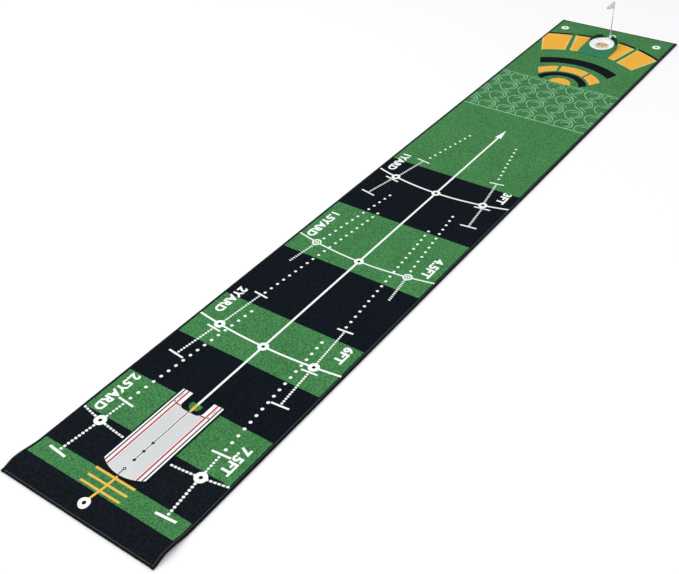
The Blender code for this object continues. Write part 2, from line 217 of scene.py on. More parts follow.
M_GREEN = pile("pile_green", (0.080, 0.300, 0.099), 0.56, 0.012, 0.14)
M_BLACK = pile("pile_black", (0.0078, 0.0118, 0.0182), 0.60)
M_BLACK2 = pile("pile_black_near", (0.0108, 0.0152, 0.0214), 0.65)
M_PWHITE = pile("pile_white", (0.90, 0.96, 0.91), 0.08, 0.0, 0.04)
M_ORANGE = pile("pile_orange", (0.88, 0.445, 0.055), 0.12, 0.0, 0.06)
M_RIM = pile("pile_pale_orange", (0.80, 0.60, 0.20), 0.10, 0.0, 0.06)
M_YELLOW = pile("pile_yellow", (0.84, 0.52, 0.085), 0.10, 0.0, 0.06)
M_MINT = pile("pile_mint", (0.265, 0.57, 0.315), 0.16, 0.0, 0.06)
M_GREEN2 = pile("pile_green_band", (0.069, 0.262, 0.093), 0.50, 0.012, 0.10)
M_GROUND = pile("ground_cloth", (0.03, 0.09, 0.04), 0.2)

k = Look("black_thread", (0.005, 0.0055, 0.007), 0.8, Specular_IOR_Level=0.05)
ply = k.noise(1.0, 2.0, 0.5, k.stretched((900.0, 900.0, 900.0)))
k.colour(k.ramp(ply, [(0.3, (0.0035, 0.004, 0.005)), (0.7, (0.010, 0.011, 0.013))]))
k.bump(ply, 0.5, 0.0004)
M_THREAD = k.mat

# Stitch thread in a lighter grey: a real stitch row whose lighter grey is a painted highlight along
# the right and near edges; the left and far edges take the dark copy below.
k = Look("grey_thread", (0.06, 0.066, 0.072), 0.7, Sheen_Weight=0.05, Sheen_Roughness=0.5,
         Specular_IOR_Level=0.2)
ply = k.noise(1100.0, 2.0)
k.colour(k.ramp(ply, [(0.3, (0.060, 0.066, 0.073)), (0.7, (0.115, 0.123, 0.132))]))
k.bump(ply, 0.4, 0.0003)
M_STITCH_PAINTED_HIGHLIGHT = k.mat

# The same stitch thread without the painted highlight, for the left and far edges.
k = Look("dark_grey_thread", (0.016, 0.017, 0.020), 0.75, Specular_IOR_Level=0.12)
ply = k.noise(1100.0, 2.0)
k.colour(k.ramp(ply, [(0.3, (0.009, 0.010, 0.012)), (0.7, (0.022, 0.024, 0.028))]))
k.bump(ply, 0.4, 0.0003)
M_STITCH2 = k.mat

k = Look("rubber", (0.022, 0.023, 0.025), 0.85, Specular_IOR_Level=0.3)
cell = k.voronoi(150.0)
k.colour(k.ramp(k.noise(30.0, 4.0), [(0.3, (0.016, 0.017, 0.018)), (0.7, (0.030, 0.031, 0.034))]))
k.bump(cell, 0.8, 0.0010)
M_RUBBER = k.mat

k = Look("foam", (0.03, 0.03, 0.032), 0.95)
cell = k.voronoi(900.0)
k.colour(k.ramp(cell, [(0.0, (0.012, 0.012, 0.013)), (0.6, (0.045, 0.045, 0.048))]))
k.bump(cell, 0.7, 0.0005)
M_FOAM = k.mat

k = Look("acrylic_mirror", (0.72, 0.745, 0.755), 0.10, 0.92, Coat_Weight=0.5,
         Coat_Roughness=0.03)
smear = k.noise(9.0, 4.0, 0.6, k.stretched((1.0, 0.35, 1.0), 0.5))
k.colour(k.ramp(smear, [(0.3, (0.70, 0.735, 0.75)), (0.7, (0.76, 0.78, 0.785))]))
k.rough(k.noise(160.0, 3.0), 0.07, 0.16)
k.bump(k.noise(14.0, 2.0), 0.05, 0.0006)
M_MIRROR = k.mat


def ink(name, colour, rough=0.35, spread=0.06):
    k = Look(name, colour, rough, Specular_IOR_Level=0.2)
    n = k.noise(420.0, 3.0)
    k.colour(k.ramp(n, [(0.3, shade(colour, 1 - spread)), (0.7, shade(colour, 1 + spread))]))
    k.bump(n, 0.12, 0.00008)
    return k.mat


M_INK_WHITE = ink("ink_white", (0.86, 0.86, 0.86))
M_INK_BLACK = ink("ink_black", (0.006, 0.006, 0.007), 0.6, 0.3)
M_INK_RED = ink("ink_red", (0.36, 0.010, 0.020), 0.5)
M_INK_PINK = ink("ink_pale_red", (0.84, 0.70, 0.70))


def moulded(name, colour, rough, fine=1600.0, strength=0.10, **sockets):
    """Moulded plastic: spark-eroded grain, faint flow marks, patchy roughness."""
    k = Look(name, colour, rough, **sockets)
    g = k.noise(fine, 3.0, 0.6)
    flow = k.noise(26.0, 3.0, 0.5)
    k.colour(k.ramp(flow, [(0.30, shade(colour, 0.92)), (0.70, shade(colour, 1.07))]))
    k.rough(k.noise(90.0, 3.0), rough - 0.06, rough + 0.08)
    k.bump(g, strength, 0.00025)
    return k.mat


k = Look("green_plastic", (0.026, 0.180, 0.083), 0.48, Specular_IOR_Level=0.06)
xyz = k.add("ShaderNodeSeparateXYZ", Vector=k.co).outputs
# The deck's own height at this Y: the guard walls above it are painted darker, as shade, not as a
# colour of the plastic.
rise = k.maths('SUBTRACT', xyz[2], k.maths('MULTIPLY', k.maths('SUBTRACT', xyz[1], 1.3415), 0.096))
wall_shade = k.maths('GREATER_THAN', rise, 0.0182)
flow = k.ramp(k.noise(26.0, 3.0), [(0.3, (0.024, 0.168, 0.077)), (0.7, (0.030, 0.192, 0.089))])
# Near-black green mixed in above the deck: painted shade on the guard walls.
k.colour(k.mix('MIX', k.maths('MULTIPLY', wall_shade, 0.95), flow, (0.002, 0.030, 0.011)))
k.rough(k.noise(90.0, 3.0), 0.46, 0.60)
k.bump(k.noise(1500.0, 3.0, 0.6), 0.12, 0.00025)
M_CUP = k.mat
M_WHITE = moulded("white_plastic", (0.86, 0.885, 0.875), 0.34, Coat_Weight=0.2,
                  Coat_Roughness=0.12, Subsurface_Weight=0.04)
M_POLE = moulded("pole_plastic", (0.83, 0.84, 0.84), 0.30, 1200.0, 0.06, Coat_Weight=0.2)
M_POLE_LOW = moulded("pole_plastic_grey", (0.52, 0.545, 0.55), 0.30, 1200.0, 0.06,
                     Coat_Weight=0.2)
M_DISC = moulded("disc_cream", (0.79, 0.67, 0.47), 0.46, 900.0, 0.10)
M_DISC_TAN = ink("disc_tan", (0.50, 0.25, 0.08), 0.45)
M_DISC_BROWN = ink("disc_brown", (0.115, 0.075, 0.035), 0.45)

k = Look("pennant_cloth", (0.60, 0.61, 0.62), 0.88, Sheen_Weight=0.2, Sheen_Roughness=0.5)
warp = k.add("ShaderNodeTexWave", Vector=k.co, Scale=950.0, Distortion=0.4)
warp.bands_direction = 'Z'
weft = k.add("ShaderNodeTexWave", Vector=k.co, Scale=950.0, Distortion=0.4)
weft.bands_direction = 'X'
weave = k.maths('MULTIPLY', warp.outputs["Fac"], weft.outputs["Fac"])
k.colour(k.ramp(weave, [(0.0, (0.58, 0.585, 0.60)), (0.6, (0.76, 0.765, 0.77))]))
k.bump(weave, 0.35, 0.0002)
M_CLOTH = k.mat


# ------------------------------------------------------------ mesh helpers
def add_object(name, verts, faces, mat, body, smooth=None):
    me = bpy.data.meshes.new(name)
    me.from_pydata(verts, [], faces)
    me.validate()
    me.materials.append(mat)
    if smooth is not None:
        me.shade_smooth()
        me.set_sharp_from_angle(angle=radians(smooth))
    ob = bpy.data.objects.new(name, me)
    SCENE.collection.objects.link(ob)
    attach(ob, body)
    return ob


FOLD_Y, FOLD_FAR, FOLD_NEAR, FOLD_H = -1.4720, 0.0800, 0.0410, 0.0085


def lift(y):
    """The shallow wave left in the near end by the rolled-up state."""
    d = y - FOLD_Y
    d = d / FOLD_FAR if d > 0 else -d / FOLD_NEAR
    return FOLD_H * 0.5 * (1 + cos(pi * d)) if d < 1 else 0.0


def area2(pts):
    return sum(p[0] * q[1] - q[0] * p[1] for p, q in zip(pts, pts[1:] + pts[:1]))


def ccw(pts):
    return pts if area2(pts) > 0 else pts[::-1]


class Print:
    """Flat artwork: later shapes lie over earlier ones. All shapes are cut into
    one shared triangulation, so that neighbouring colours meet exactly."""

    def __init__(self, field):
        self.shapes = [("field", ccw(field), None)]
        self.cuts = []

    def poly(self, colour, pts, clip=None):
        if abs(area2(pts)) < 6e-8:      # a sliver would spread over the whole field
            return None
        self.shapes.append((colour, ccw([(float(x), float(y)) for x, y in pts]), clip))
        return len(self.shapes) - 1

    def rect(self, colour, x0, y0, x1, y1, clip=None):
        return self.poly(colour, [(x0, y0), (x1, y0), (x1, y1), (x0, y1)], clip)

    def disc(self, colour, x, y, r, n=20, clip=None):
        return self.poly(colour, [(x + r * cos(2 * pi * i / n), y + r * sin(2 * pi * i / n))
                                  for i in range(n)], clip)

    def line(self, colour, p, q, w, clip=None):
        dx, dy = q[0] - p[0], q[1] - p[1]
        l = hypot(dx, dy)
        nx, ny = -dy / l * w / 2, dx / l * w / 2
        return self.poly(colour, [(p[0] + nx, p[1] + ny), (p[0] - nx, p[1] - ny),
                                  (q[0] - nx, q[1] - ny), (q[0] + nx, q[1] + ny)], clip)

    def path(self, colour, pts, w, clip=None):
        """A line of one width through many points, as one outline."""
        left, right = [], []
        for i, p in enumerate(pts):
            a, b = pts[max(0, i - 1)], pts[min(len(pts) - 1, i + 1)]
            dx, dy = b[0] - a[0], b[1] - a[1]
            l = hypot(dx, dy)
            nx, ny = -dy / l * w / 2, dx / l * w / 2
            left.append((p[0] + nx, p[1] + ny))
            right.append((p[0] - nx, p[1] - ny))
        return self.poly(colour, left + right[::-1], clip)

    def dots(self, colour, p, q, n, r, sides=12):
        for i in range(n):
            t = i / (n - 1)
            self.disc(colour, p[0] + (q[0] - p[0]) * t, p[1] + (q[1] - p[1]) * t, r, sides)

    def text(self, colour, body, x0, x1, y0, y1, bold=0.0):
        """Lettering that reads down the mat, its tops toward +X, in a box."""
        cu = bpy.data.curves.new("lettering", 'FONT')
        cu.body = body
        cu.size = 1.0
        cu.offset = bold
        cu.resolution_u = 3
        cu.space_character = 1.04
        tmp = bpy.data.objects.new("lettering", cu)
        SCENE.collection.objects.link(tmp)
        dg = bpy.context.evaluated_depsgraph_get()
        me = bpy.data.meshes.new_from_object(tmp.evaluated_get(dg))
        co = [(v.co.x, v.co.y) for v in me.vertices]
        us, vs = [c[0] for c in co], [c[1] for c in co]
        u0, u1, v0, v1 = min(us), max(us), min(vs), max(vs)
        for f in me.polygons:
            pts = []
            for i in f.vertices:
                u, v = co[i]
                pts.append((x0 + (x1 - x0) * (v - v0) / (v1 - v0),
                            y1 - (y1 - y0) * (u - u0) / (u1 - u0)))
            self.poly(colour, pts)
        bpy.data.objects.remove(tmp, do_unlink=True)
        bpy.data.curves.remove(cu)
        bpy.data.meshes.remove(me)

    def cut(self, p, q):
        self.cuts.append((p, q))

    def build(self, eps=1e-6):
        verts, edges, faces = [], [], []
        for _, pts, _ in self.shapes:
            base = len(verts)
            verts += [Vector(p) for p in pts]
            faces.append(list(range(base, base + len(pts))))
        for p, q in self.cuts:
            base = len(verts)
            verts += [Vector(p), Vector(q)]
            edges.append((base, base + 1))
        v, _, f, _, _, src = delaunay_2d_cdt(verts, edges, faces, 1, eps, True)
        groups = {}
        for tri, ids in zip(f, src):
            ids = set(ids)
            if 0 not in ids:
                continue
            top = max(i for i in ids if self.shapes[i][2] is None or self.shapes[i][2] in ids)
            groups.setdefault(self.shapes[top][0], []).append(tuple(tri))
        return [tuple(p) for p in v], groups


def slab(name, verts2, tris, z0, z1, mat, body, height=lambda y: 0.0):
    """A closed sheet from flat triangles, with walls on its own border."""
    used = sorted({i for t in tris for i in t})
    at = {i: k for k, i in enumerate(used)}
    n = len(used)
    verts = []
    for z in (z1, z0):
        verts += [(verts2[i][0], verts2[i][1], z + height(verts2[i][1])) for i in used]
    edge = {}
    faces = []
    for a, b, c in tris:
        a, b, c = at[a], at[b], at[c]
        (ax, ay, _), (bx, by, _), (cx, cy, _) = verts[a], verts[b], verts[c]
        if (bx - ax) * (cy - ay) - (cx - ax) * (by - ay) < 0:
            b, c = c, b
        faces.append((a, b, c))
        faces.append((c + n, b + n, a + n))
        for e in ((a, b), (b, c), (c, a)):
            edge[e] = True
    for (a, b) in edge:
        if (b, a) not in edge:
            faces.append((b, a, a + n, b + n))
    return add_object(name, verts, faces, mat, body)


# ---------------------------------------------------------- printed pile
FX, FY = 0.2412, 1.5078
D = 1.36                 # artwork distances below are from the cup's end zone
art = Print([(-FX, -FY), (FX, -FY), (FX, FY), (-FX, FY)])
art.rect("green", -FX, -FY, FX, FY)
for y1, y0, c in ((-1.194, -1.516, "black"), (-1.801, -2.071, "black"),
                  (-2.270, -2.455, "black"), (-2.613, -2.740, "black2"),
                  (-2.800, -2.900, "black2")):
    art.rect(c, -0.26, y0 + D, 0.26, y1 + D)

# Black strip along the right edge only: painted shade standing in for the border's shadow and side
# wall.
art.rect("black", 0.2384, -FY, 0.26, FY)

# Scroll-pattern band: rows of open rings with a hook inside and two tails.
BAND0, BAND1 = -0.713 + D, -0.400 + D
band = art.rect("green2", -0.26, BAND0, 0.2384, BAND1)
art.rect("mint", -0.26, BAND0, 0.2384, BAND0 + 0.0045)
art.rect("mint", -0.26, BAND1 - 0.0028, 0.2384, BAND1)


def arc_pts(cx, cy, r, a0, a1, n, squash=1.0):
    return [(cx + r * cos(radians(a0 + (a1 - a0) * i / n)),
             cy + squash * r * sin(radians(a0 + (a1 - a0) * i / n))) for i in range(n + 1)]


for row in range(5):
    cy = -0.427 + D - 0.0858 * row
    for col in range(-4, 5):
        cx = -0.006 + 0.0768 * col
        art.path("mint", arc_pts(cx, cy, 0.0330, 215, -95, 22, 0.86), 0.0035, band)
        art.path("mint", arc_pts(cx + 0.004, cy + 0.001, 0.0185, 160, -60, 10, 0.86), 0.0035, band)
        art.path("mint", [(cx - 0.026, cy - 0.020), (cx - 0.012, cy - 0.036),
                          (cx + 0.012, cy - 0.050), (cx + 0.026, cy - 0.062)], 0.0035, band)
        art.path("mint", [(cx + 0.002, cy - 0.031), (cx + 0.016, cy - 0.040),
                          (cx + 0.034, cy - 0.052)], 0.0035, band)

# Target rings of the cup end: a half disc and bands of arc segments.
TX = -0.006


def sector(colour, cy, r_out, a_out, r_in, a_in, n=10):
    art.poly(colour, arc_pts(TX, cy, r_out, a_out[0], a_out[1], n)
             + arc_pts(TX, cy, r_in, a_in[1], a_in[0], n))


art.poly("orange", arc_pts(TX, BAND1, 0.0430, 0, 180, 20))
sector("black", -0.4168 + D, 0.1095, (157, 23), 0.0800, (166, 14), 18)
for out, inn in (((141.0, 114.0), (150.0, 118.0)), ((108.0, 68.0), (111.0, 64.5)),
                 ((63.0, 37.0), (58.0, 28.5))):
    sector("rim", -0.4168 + D, 0.1635, (out[0] + 0.6, out[1] - 0.6), 0.1195,
           (inn[0] + 0.9, inn[1] - 0.9))
    sector("orange", -0.4168 + D, 0.1608, out, 0.1222, inn)
sector("black", -0.4488 + D, 0.2724, (126.5, 53.8), 0.2232, (129.0, 50.0), 24)


def bowed(p, q, s, n=8):
    """Points from p to q on a shallow bow that rises s above the chord."""
    dx, dy = q[0] - p[0], q[1] - p[1]
    l = hypot(dx, dy)
    return [(p[0] + dx * t - dy / l * s * 4 * t * (1 - t),
             p[1] + dy * t + dx / l * s * 4 * t * (1 - t)) for t in [i / n for i in range(n + 1)]]


# The four large segments, from their corners: far left, far right, near right, near left.
for fl, fr, nr, nl, s in (
        ((-0.262, 1.346), (-0.1470, 1.3860), (-0.1128, 1.2420), (-0.1980, 1.2000), 0.0035),
        ((-0.1332, 1.3920), (-0.0640, 1.4020), (-0.0640, 1.2520), (-0.0960, 1.2480), 0.0012),
        ((0.0480, 1.4040), (0.1230, 1.3830), (0.0948, 1.2450), (0.0480, 1.2560), 0.0015),
        ((0.1380, 1.3800), (0.2400, 1.3230), (0.1860, 1.1970), (0.1092, 1.2330), 0.0030)):
    top = bowed(fl, fr, s)
    low = bowed(nl, nr, s * 0.8)
    art.poly("black", [(x, y + 0.0152) for x, y in top] + top[::-1])
    art.poly("rim", top + low[::-1])
    cx = sum(p[0] for p in (fl, fr, nr, nl)) / 4
    cy = sum(p[1] for p in (fl, fr, nr, nl)) / 4
    w, h = abs(fr[0] - fl[0]) + abs(nr[0] - nl[0]), 0.29
    kx, ky = 1 - 0.0056 * 2 / (w / 2), 1 - 0.0028 * 2 / (h / 2)
    art.poly("orange", [(cx + (x - cx) * kx, cy + 0.0006 + (y - cy) * ky)
                        for x, y in top + low[::-1]])


def ring(x, y, ro, ri, inner="black", n=28):
    art.disc("white", x, y, ro, n)
    art.disc(inner, x, y, ri, 18)


for x in (-0.2060, 0.1910):
    ring(x, 0.081 + D, 0.0160, 0.0052)

# Centre line and its arrow head.
CX = -0.0017
art.rect("white", CX - 0.0034, -2.456 + D, CX + 0.0034, -0.885 + D)
art.poly("white", [(CX, -0.831 + D), (CX + 0.0120, -0.893 + D), (CX, -0.886 + D),
                   (CX - 0.0120, -0.893 + D)])


def bead_line(p, q, pitch, r, sides=8):
    n = max(2, round(hypot(q[0] - p[0], q[1] - p[1]) / pitch) + 1)
    art.dots("white", p, q, n, r, sides)


def tick_line(p, q, pitch, w, t):
    """A fine row of short cross ticks."""
    l = hypot(q[0] - p[0], q[1] - p[1])
    ux, uy = (q[0] - p[0]) / l, (q[1] - p[1]) / l
    for i in range(int(l / pitch) + 1):
        s = i * pitch
        art.line("white", (p[0] + ux * (s - t / 2), p[1] + uy * (s - t / 2)),
                 (p[0] + ux * (s + t / 2), p[1] + uy * (s + t / 2)), w)


def cross_bar(p, along, length, w=0.0050):
    """A short bar across a guide that runs in the direction along."""
    l = hypot(*along)
    nx, ny = -along[1] / l * length / 2, along[0] / l * length / 2
    art.line("white", (p[0] - nx, p[1] - ny), (p[0] + nx, p[1] + ny), w)


# Distance arcs: (middle, curvature).
def arc_y(row, x):
    y0, c = row
    return y0 + D + c * x * x


ROW3, ROW45, ROW6, ROW75 = (-1.310, 0.62), (-1.748, 0.48), (-2.197, 0.31), (-2.6428, 0.46)
for row, w in ((ROW3, 0.0062), (ROW6, 0.0062)):
    art.path("white", [(x, arc_y(row, x)) for x in np.linspace(-0.252, 0.252, 27)], w)
n = 72
for i in range(n):
    x = -0.248 + 0.496 * (i + 0.5) / n
    art.line("white", (x - 0.00265, arc_y(ROW45, x - 0.00265)),
             (x + 0.00265, arc_y(ROW45, x + 0.00265)), 0.0056)
art.path("white", [(x, arc_y(ROW45, x)) for x in np.linspace(-0.252, 0.252, 27)], 0.0026)
for i in range(46):
    x = -0.2480 + 0.0110 * i
    if abs(x + 0.0030) > 0.079:
        art.line("white", (x - 0.0040, arc_y(ROW75, x - 0.0040)),
                 (x + 0.0040, arc_y(ROW75, x + 0.0040)), 0.0060)

# Guides toward the hole: dots, cross bars and beaded lines on both sides.
for s, path3, bars3 in (
        (-1, ((-0.1330, -1.130), (-0.0930, -0.929)), ((-0.142, -1.159), (-0.164, -1.2936),
                                                      (-0.171, -1.311), (-0.192, -1.421))),
        (1, ((0.1300, -1.130), (0.0880, -0.929)), ((0.138, -1.159), (0.160, -1.2936),
                                                   (0.168, -1.311), (0.181, -1.421)))):
    p, q = [(a, b + D) for a, b in path3]
    art.dots("white", p, q, 9, 0.0044)
    b = [(x, y + D) for x, y in bars3]
    tick_line(b[0], b[1], 0.0080, 0.0068, 0.0040)
    cross_bar(b[0], (b[1][0] - b[0][0], b[1][1] - b[0][1]), 0.050)
    tick_line(b[2], b[3], 0.0086, 0.0070, 0.0044)
    cross_bar(b[2], (b[3][0] - b[2][0], b[3][1] - b[2][1]), 0.054, 0.0056)
    cross_bar(b[3], (b[3][0] - b[2][0], b[3][1] - b[2][1]), 0.054, 0.0056)
for p, q in (((-0.121, -1.399), (-0.160, -1.707)), ((0.113, -1.399), (0.153, -1.707))):
    n = round(hypot(q[0] - p[0], q[1] - p[1]) / 0.0252) + 1
    art.dots("white", (p[0], p[1] + D), (q[0], q[1] + D), n, 0.0045)
for p, q in (((-0.167, -1.751), (-0.180, -1.859)), ((0.161, -1.751), (0.174, -1.859))):
    tick_line((p[0], p[1] + D), (q[0], q[1] + D), 0.0084, 0.0072, 0.0044)
for p, q, bars in (
        ((-0.096, -1.507), (-0.144, -2.013), ((-0.148, -2.027), (-0.162, -2.190),
                                              (-0.166, -2.210), (-0.181, -2.345))),
        ((0.091, -1.507), (0.140, -2.013), ((0.147, -2.028), (0.160, -2.190),
                                            (0.162, -2.210), (0.174, -2.347)))):
    art.dots("white", (p[0], p[1] + D), (q[0], q[1] + D), 21, 0.0045)
    b = [(x, y + D) for x, y in bars]
    bead_line(b[0], b[1], 0.0086, 0.0034)
    way = (b[3][0] - b[0][0], b[3][1] - b[0][1])
    cross_bar(b[0], way, 0.050, 0.0058)
    bead_line(b[2], b[3], 0.0094, 0.0038)
    cross_bar(b[2], way, 0.050, 0.0056)
    cross_bar(b[3], way, 0.054, 0.0058)
for p, q, bars in (
        ((-0.123, -2.099), (-0.162, -2.533), ((-0.162, -2.549), (-0.168, -2.630), (-0.181, -2.759))),
        ((0.121, -2.099), (0.157, -2.533), ((0.158, -2.550), (0.164, -2.630), (0.177, -2.760)))):
    art.dots("white", (p[0], p[1] + D), (q[0], q[1] + D), 18, 0.0049)
    b = [(x, y + D) for x, y in bars]
    way = (b[2][0] - b[0][0], b[2][1] - b[0][1])
    cross_bar(b[0], way, 0.056, 0.0062)
    bead_line(b[0], b[1], 0.0100, 0.0038, 10)
    bead_line(b[1], b[2], 0.0112, 0.0042, 10)
    cross_bar(b[2], way, 0.060, 0.0074)

for row, xs, inner, ro, ri in ((ROW3, (-0.167, CX, 0.161), "black", 0.0145, 0.0058),
                               (ROW45, (CX,), "black", 0.0145, 0.0050),
                               (ROW6, (-0.163, CX, 0.161), "black", 0.0160, 0.0050),
                               (ROW75, (-0.170, 0.165), "black2", 0.0172, 0.0052)):
    for x in xs:
        ring(x, arc_y(row, x), ro, ri, inner)
for x in (-0.167, 0.160):
    y = arc_y(ROW45, x)
    ring(x, y, 0.0150, 0.0100, "green")
    art.disc("white", x, y, 0.0068, 18)
    art.disc("green", x, y, 0.0030, 12)

# Near end: three bars, the foot line and its ring; black rest for the mirror.
art.rect("black2", -0.0765, -2.640 + D, 0.0710, -2.440 + D)
ball = art.disc("green", -0.0022, -2.4625 + D, 0.0180, 28)
art.rect("black", -0.0300, -2.4555 + D, 0.0300, -2.430 + D)
art.rect("white", CX - 0.0034, -2.4560 + D, CX + 0.0034, -2.430 + D)
art.rect("yellow", CX - 0.0034, -2.4860 + D, CX + 0.0038, -2.4552 + D)
for y in (-2.742, -2.767, -2.7906):
    art.rect("yellow", -0.0655, y - 0.0033 + D, 0.0635, y + 0.0033 + D)
art.rect("yellow", CX - 0.0026, -2.836 + D, CX + 0.0040, -2.735 + D)
ring(-0.002, -2.836 + D, 0.0156, 0.0052, "black2")

# Distances in feet and in yards.
for body, x0, x1, y0, y1 in (("1YARD", -0.2250, -0.1950, -1.262, -1.151),
                             ("1.5YARD", -0.2250, -0.1940, -1.717, -1.574),
                             ("2YARD", -0.2230, -0.1930, -2.149, -2.027),
                             ("2.5YARD", -0.2240, -0.1930, -2.607, -2.460),
                             ("3FT", 0.1840, 0.2130, -1.259, -1.193),
                             ("4.5FT", 0.1840, 0.2150, -1.712, -1.613),
                             ("6FT", 0.1850, 0.2150, -2.144, -2.077),
                             ("7.5FT", 0.1850, 0.2160, -2.595, -2.501)):
    art.text("white", body, x0, x1, y0 + D, y1 + D, 0.042)

for i in range(12):
    y = FOLD_Y - FOLD_NEAR * i / 12
    art.cut((-0.245, y), (0.245, y))
for i in range(1, 19):
    y = FOLD_Y + FOLD_FAR * i / 18
    art.cut((-0.245, y), (0.245, y))
v2, groups = art.build()
PILE_TOP = 0.0050
LOOKS = {"green": M_GREEN, "black": M_BLACK, "black2": M_BLACK2, "white": M_PWHITE,
         "orange": M_ORANGE, "green2": M_GREEN2, "rim": M_RIM, "yellow": M_YELLOW, "mint": M_MINT}
for colour, tris in groups.items():
    if colour == "field":
        colour = "green_rest"
    slab("pile_" + colour, v2, tris, 0.0035, PILE_TOP,
                     LOOKS.get(colour, M_GREEN), "mat", lift)
print("artwork triangles", {c: len(t) for c, t in groups.items()})


# ------------------------------------------------- sheets under the pile
def laid(name, hx, hy, z0, z1, mat, nx=12):
    """A sheet with enough rows to follow the wave near its end."""
    ys = [-hy]
    y = -hy
    while y < hy - 1e-6:
        y += 0.0035 if y < FOLD_Y + FOLD_FAR else 0.030
        ys.append(min(y, hy))
    xs = [-hx + 2 * hx * i / nx for i in range(nx + 1)]
    pts = [(x, y) for y in ys for x in xs]
    tris = []
    for j in range(len(ys) - 1):
        for i in range(nx):
            a = j * (nx + 1) + i
            b, c, d = a + 1, a + nx + 2, a + nx + 1
            tris += [(a, b, c), (a, c, d)]
    return slab(name, pts, tris, z0, z1, mat, "mat", lift)


rubber = laid("rubber_sheet", 0.2415, 1.5080, 0.0, 0.0022, M_RUBBER)
ground = laid("turf_cloth", 0.2413, 1.5079, 0.0024, 0.0034, M_GROUND)
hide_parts("rubber_backing")
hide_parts("turf_pile")


# ---------------------------------------------------- overlocked edges
def serged(name, along, s0, s1, inner, outer, node, pitch=0.0034, per=4, ring_n=10):
    """An overlocked edge: thread wound round the border in slanting ridges."""
    n = int(round((s1 - s0) / pitch * per))
    mid, half = (inner + outer) / 2, abs(outer - inner) / 2
    side = 1.0 if outer > inner else -1.0
    zc, hz = 0.00272, 0.00262
    verts, faces = [], []
    for i in range(n + 1):
        s = s0 + (s1 - s0) * i / n
        wob = 0.00022 * noise.noise(Vector((s * 55.0, mid * 9.0, 0.3)))
        for j in range(ring_n):
            a = 2 * pi * (j + 0.5) / ring_n
            ca, sa = cos(a), sin(a)
            u = (abs(ca) ** 0.62) * (1 if ca > 0 else -1)
            w = (abs(sa) ** 0.62) * (1 if sa > 0 else -1)
            rib = 0.5 + 0.5 * cos(2 * pi * (s / pitch - 0.42 * u))
            k = 1.0 - (0.17 if w > -0.2 else 0.04) * (1 - rib)
            x = mid + side * (u * half * (0.5 + 0.5 * k) + (wob if u > 0 else 0.0))
            z = zc + w * hz * k + (0.00030 if w > 0 else 0.0)
            if along == "y":
                verts.append((x, s, z + lift(s)))
            else:
                verts.append((s, x, z + lift(x)))
    for i in range(n):
        for j in range(ring_n):
            a, b = i * ring_n + j, i * ring_n + (j + 1) % ring_n
            f = (a, b, b + ring_n, a + ring_n)
            faces.append(f if (side > 0) == (along == "y") else f[::-1])
    faces.append(tuple(range(ring_n)) if (side > 0) != (along == "y") else tuple(range(ring_n))[::-1])
    end = tuple(range(n * ring_n, (n + 1) * ring_n))
    faces.append(end[::-1] if (side > 0) != (along == "y") else end)
    ob = add_object(name, verts, faces, M_THREAD, "mat", 60)
    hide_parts(node)
    return ob


def chain(name, along, s0, s1, at, z, mat=M_STITCH_PAINTED_HIGHLIGHT, pitch=0.0046, w=0.00075):
    """A row of short stitches lying on the overlocked edge."""
    verts, faces = [], []
    n = int((s1 - s0) / pitch)
    for i in range(n):
        c = s0 + (i + 0.5) * pitch
        for t, k in ((-0.46, 0.30), (-0.22, 1.0), (0.22, 1.0), (0.46, 0.30)):
            s = c + t * pitch
            base = lift(s if along == "y" else at)
            for a in range(6):
                b = 2 * pi * (a + 0.5) / 6
                x = at + w * k * cos(b) + t * 0.0007
                zz = z + base + w * 0.75 * k * sin(b) + (0.00014 if abs(t) < 0.3 else 0.0)
                verts.append((x, s, zz) if along == "y" else (s, x, zz))
        o = i * 24
        for r in range(3):
            for a in range(6):
                p, q = o + r * 6 + a, o + r * 6 + (a + 1) % 6
                faces.append((p, q, q + 6, p + 6))
        faces.append(tuple(range(o, o + 6))[::-1])
        faces.append(tuple(range(o + 18, o + 24)))
    me_faces = faces if along == "x" else [f[::-1] for f in faces]
    return add_object(name, verts, me_faces, mat, "mat", 50)


serged("edge_left", "y", -1.5150, 1.5150, -0.2408, -0.2498, "edge_binding_left")
serged("edge_right", "y", -1.5150, 1.5150, 0.2408, 0.2498, "edge_binding_right")
serged("edge_near", "x", -0.2418, 0.2418, -1.5074, -1.5149, "edge_binding_near")
serged("edge_far", "x", -0.2418, 0.2418, 1.5074, 1.5149, "edge_binding_far")
# Right and near stitch rows carry the grey thread with its painted highlight; left and far rows use
# the dark thread.
chain("edge_stitch_left", "y", -1.5120, 1.5120, -0.2434, 0.00545, M_STITCH2)
chain("edge_stitch_right", "y", -1.5120, 1.5120, 0.2434, 0.00545)
chain("edge_stitch_near", "x", -0.2400, 0.2400, -1.5096, 0.00545)
chain("edge_stitch_far", "x", -0.2400, 0.2400, 1.5096, 0.00545, M_STITCH2)

# --------------------------------------------------------------- mirror


def give(node, mat):
    ob = NODES[node]
    if not ob.material_slots:
        ob.data.materials.append(mat)
    for s in ob.material_slots:
        s.material = mat


give("mirror_plate", M_MIRROR)
give("mirror_backing", M_FOAM)

MW, MFAR, MNEAR, MCORNER = 0.0680, -1.0755, -1.3725, -1.3520
sag = MCORNER - MNEAR
RAD = (MW * MW + sag * sag) / (2 * sag)
CY = MNEAR + RAD


def plate_outline(inset):
    w, far = MW - inset, MFAR - inset
    nw, end, nr = 0.0355 + inset, -1.1310 - inset, 0.0170
    rad, r = RAD - inset, 0.0025
    pts = arc_pts(-w + r, far - r, r, 90, 180, 4)
    for i in range(25):
        x = -w + 2 * w * i / 24
        pts.append((x, CY - sqrt(rad * rad - x * x)))
    pts += arc_pts(w - r, far - r, r, 0, 90, 4)
    pts += arc_pts(nw + r * 0.6, far - r * 0.6, r * 0.6, 90, 180, 3)
    pts += arc_pts(nw - nr, end + nr, nr, 0, -90, 10)
    pts += arc_pts(-nw + nr, end + nr, nr, -90, -180, 10)
    pts += arc_pts(-nw - r * 0.6, far - r * 0.6, r * 0.6, 0, 90, 3)
    return pts


